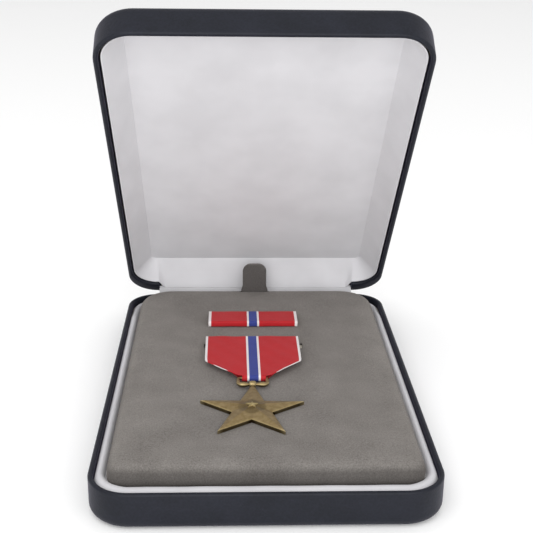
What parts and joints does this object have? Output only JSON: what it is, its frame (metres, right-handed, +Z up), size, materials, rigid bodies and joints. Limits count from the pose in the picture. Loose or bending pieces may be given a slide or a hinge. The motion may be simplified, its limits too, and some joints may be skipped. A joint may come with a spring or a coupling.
{
  "type": "medal set in a hinged case",
  "caption": "Star medal on a draped ribbon and a matching ribbon bar, on a suede pad in a hinged leatherette presentation case with a pull tab.",
  "frame": {"origin": "centre of the flat underside of the case's base", "axes": "+X to the right of the case seen from its opening side, +Y towards the hinge, +Z up"},
  "size_m": [0.108, 0.1667, 0.1426],
  "materials": {
    "leatherette": "navy leather-grain vinyl, low sheen",
    "case_core": "moulded, dull",
    "lining_satin": "white satin over board",
    "card": "pressed card, dull",
    "hinge_brass": "stamped, plated",
    "spring_steel": "drawn wire",
    "foam": "open-cell foam",
    "suede": "warm grey suede, short nap",
    "ribbon": "woven silk, red with a blue centre stripe and white edges",
    "clasp_brass": "stamped brass",
    "pin_steel": "drawn, bright",
    "bronze": "antiqued bronze, satin"
  },
  "bodies": {
    "base": {"base_cover": "leatherette", "base_shell": "case_core", "base_lining": "lining_satin", "base_riser": "card", "hinge_leaf_base": "hinge_brass", "hinge_pin": "hinge_brass", "hinge_spring": "spring_steel"},
    "lid": {"lid_cover": "leatherette", "lid_shell": "case_core", "lid_lining": "lining_satin", "lid_panel": "lining_satin", "hinge_leaf_lid": "hinge_brass"},
    "pad": {"pad_board": "card", "pad_foam": "foam", "pad_cover": "suede", "pull_tab_tail": "suede", "ribbon_bar_plate": "clasp_brass", "ribbon_bar_ribbon": "ribbon"},
    "tab": {"pull_tab": "suede"},
    "clutch_l": {"clutch_left": "clasp_brass"},
    "clutch_r": {"clutch_right": "clasp_brass"},
    "medal": {"brooch_plate": "clasp_brass", "pin_joint": "clasp_brass", "pin_rivet": "clasp_brass", "catch_housing": "clasp_brass", "ribbon_drape": "ribbon"},
    "pin": {"pin_stem": "pin_steel"},
    "lock": {"catch_lock": "clasp_brass"},
    "loop": {"suspension_loop": "bronze"},
    "star": {"star_pendant": "bronze"}
  },
  "joints": [
    {"name": "lid_hinge", "type": "hinge", "parent": "base", "child": "lid", "pos_m": [0, 0.08, 0.01255], "axis": [-1, 0, 0], "range_deg": [-51, 44]},
    {"name": "pad_lift", "type": "slide", "parent": "base", "child": "pad", "axis": [0, 0, 1], "range_m": [0, 0.006]},
    {"name": "tab_fold", "type": "hinge", "parent": "pad", "child": "tab", "pos_m": [-0.0007, 0.0713, 0.0173], "axis": [1, 0, 0], "range_deg": [-58, 67]},
    {"name": "clutch_left_slide", "type": "slide", "parent": "pad", "child": "clutch_l", "axis": [0, 0, 1], "range_m": [-0.0032, 0]},
    {"name": "clutch_right_slide", "type": "slide", "parent": "pad", "child": "clutch_r", "axis": [0, 0, 1], "range_m": [-0.0032, 0]},
    {"name": "medal_lift", "type": "slide", "parent": "pad", "child": "medal", "axis": [0, 0, 1], "range_m": [0, 0.012]},
    {"name": "pin_swing", "type": "hinge", "parent": "medal", "child": "pin", "pos_m": [-0.0168, 0.0149, 0.0153], "axis": [0, 1, 0], "range_deg": [0, 20]},
    {"name": "lock_turn", "type": "hinge", "parent": "medal", "child": "lock", "pos_m": [0.0095, 0.0149, 0.0153], "axis": [1, 0, 0], "range_deg": [0, 150]},
    {"name": "loop_swing", "type": "hinge", "parent": "medal", "child": "loop", "pos_m": [-0.0033, -0.0148, 0.0179], "axis": [-1, 0, 0], "range_deg": [0, 45]},
    {"name": "star_swing", "type": "hinge", "parent": "loop", "child": "star", "pos_m": [-0.0034, -0.0198, 0.0179], "axis": [-1, 0, 0], "range_deg": [0, 80]}
  ],
  "couplings": [
    {"joint": "tab_fold", "follows": "lid_hinge", "ratio": -1.3}
  ]
}
